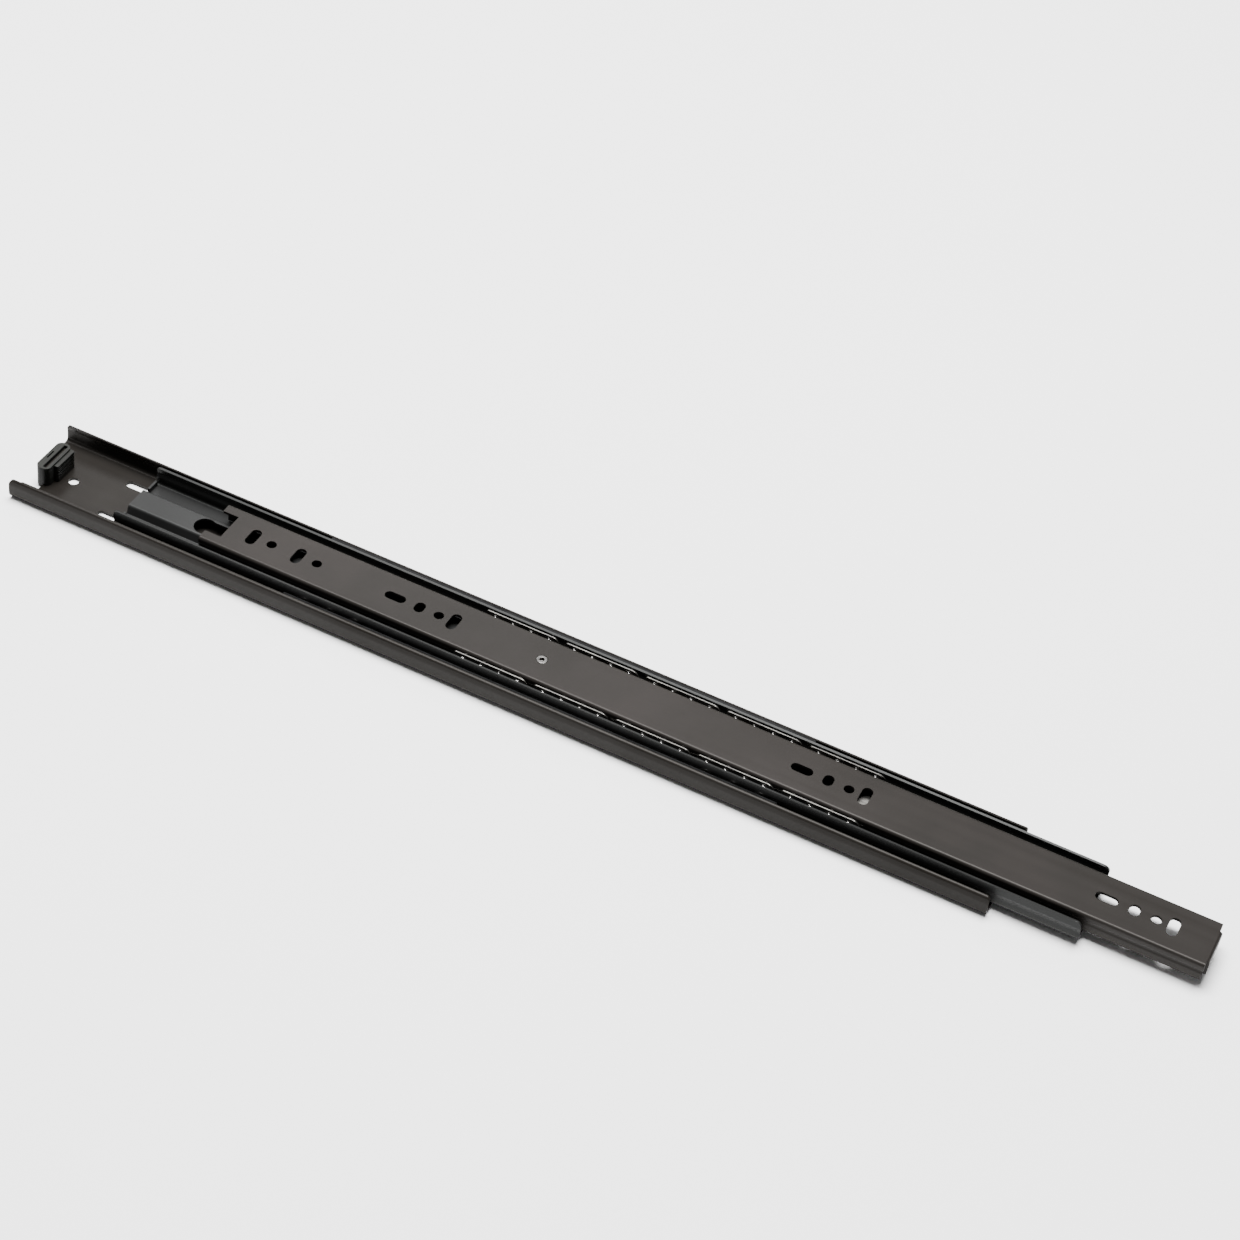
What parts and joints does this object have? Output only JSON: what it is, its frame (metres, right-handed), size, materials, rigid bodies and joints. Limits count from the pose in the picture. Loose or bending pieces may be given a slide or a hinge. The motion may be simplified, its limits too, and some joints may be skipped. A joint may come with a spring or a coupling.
{
  "type": "cabinet drawer slide",
  "caption": "Three-member side-mounted ball-bearing drawer slide, part extended, with ball retainers, a rear rubber bumper and a release lever.",
  "frame": {"origin": "centre of the outer member's back face, which lies on the cabinet side", "axes": "+X towards the front, the way the drawer opens; +Y across the slide; +Z from the cabinet side towards the drawer"},
  "size_m": [0.5353, 0.0454, 0.0127],
  "materials": {
    "outer_coat": "satin black coat on cold-rolled steel",
    "intermediate_coat": "satin black coat on cold-rolled steel",
    "inner_coat": "satin black coat on cold-rolled steel",
    "outer_retainer_steel": "dark zinc plate",
    "inner_retainer_zinc": "bright zinc plate",
    "ball_steel": "polished bearing steel",
    "bumper_rubber": "matt black rubber",
    "lever_plastic": "moulded black plastic",
    "rivet_steel": "bright steel"
  },
  "bodies": {
    "outer": {"outer_member": "outer_coat", "rear_bumper": "bumper_rubber"},
    "intermediate": {"intermediate_member": "intermediate_coat"},
    "inner": {"inner_member": "inner_coat", "lever_rivet": "rivet_steel"},
    "outer_retainer": {"outer_ball_retainer": "outer_retainer_steel", "outer_ball_near_01": "ball_steel", "outer_ball_near_02": "ball_steel", "outer_ball_near_03": "ball_steel", "outer_ball_near_04": "ball_steel", "outer_ball_near_05": "ball_steel", "outer_ball_near_06": "ball_steel", "outer_ball_far_01": "ball_steel", "outer_ball_far_02": "ball_steel", "outer_ball_far_03": "ball_steel", "outer_ball_far_04": "ball_steel", "outer_ball_far_05": "ball_steel", "outer_ball_far_06": "ball_steel"},
    "inner_retainer": {"inner_ball_retainer": "inner_retainer_zinc", "inner_ball_near_01": "ball_steel", "inner_ball_near_02": "ball_steel", "inner_ball_near_03": "ball_steel", "inner_ball_near_04": "ball_steel", "inner_ball_near_05": "ball_steel", "inner_ball_near_06": "ball_steel", "inner_ball_near_07": "ball_steel", "inner_ball_near_08": "ball_steel", "inner_ball_near_09": "ball_steel", "inner_ball_near_10": "ball_steel", "inner_ball_near_11": "ball_steel", "inner_ball_near_12": "ball_steel", "inner_ball_near_13": "ball_steel", "inner_ball_near_14": "ball_steel", "inner_ball_near_15": "ball_steel", "inner_ball_near_16": "ball_steel", "inner_ball_near_17": "ball_steel", "inner_ball_near_18": "ball_steel", "inner_ball_near_19": "ball_steel", "inner_ball_near_20": "ball_steel", "inner_ball_far_01": "ball_steel", "inner_ball_far_02": "ball_steel", "inner_ball_far_03": "ball_steel", "inner_ball_far_04": "ball_steel", "inner_ball_far_05": "ball_steel", "inner_ball_far_06": "ball_steel", "inner_ball_far_07": "ball_steel", "inner_ball_far_08": "ball_steel", "inner_ball_far_09": "ball_steel", "inner_ball_far_10": "ball_steel", "inner_ball_far_11": "ball_steel", "inner_ball_far_12": "ball_steel", "inner_ball_far_13": "ball_steel", "inner_ball_far_14": "ball_steel", "inner_ball_far_15": "ball_steel", "inner_ball_far_16": "ball_steel", "inner_ball_far_17": "ball_steel", "inner_ball_far_18": "ball_steel", "inner_ball_far_19": "ball_steel", "inner_ball_far_20": "ball_steel"},
    "lever": {"release_lever": "lever_plastic"}
  },
  "joints": [
    {"name": "intermediate_slide", "type": "slide", "parent": "outer", "child": "intermediate", "axis": [1, 0, 0], "range_m": [-0.0355, 0.17]},
    {"name": "inner_slide", "type": "slide", "parent": "intermediate", "child": "inner", "axis": [1, 0, 0], "range_m": [-0.0365, 0.178]},
    {"name": "outer_retainer_slide", "type": "slide", "parent": "outer", "child": "outer_retainer", "axis": [1, 0, 0], "range_m": [-0.0178, 0.0851]},
    {"name": "inner_retainer_slide", "type": "slide", "parent": "intermediate", "child": "inner_retainer", "axis": [1, 0, 0], "range_m": [-0.0183, 0.0891]},
    {"name": "release_lever_swing", "type": "hinge", "parent": "inner", "child": "lever", "pos_m": [0.0185, 0, 0.01], "axis": [0, 0, 1], "range_deg": [-6, 6], "stiffness_Nm_per_rad": 0.02}
  ],
  "couplings": [
    {"joint": "outer_retainer_slide", "follows": "intermediate_slide", "ratio": 0.5},
    {"joint": "inner_retainer_slide", "follows": "inner_slide", "ratio": 0.5}
  ]
}
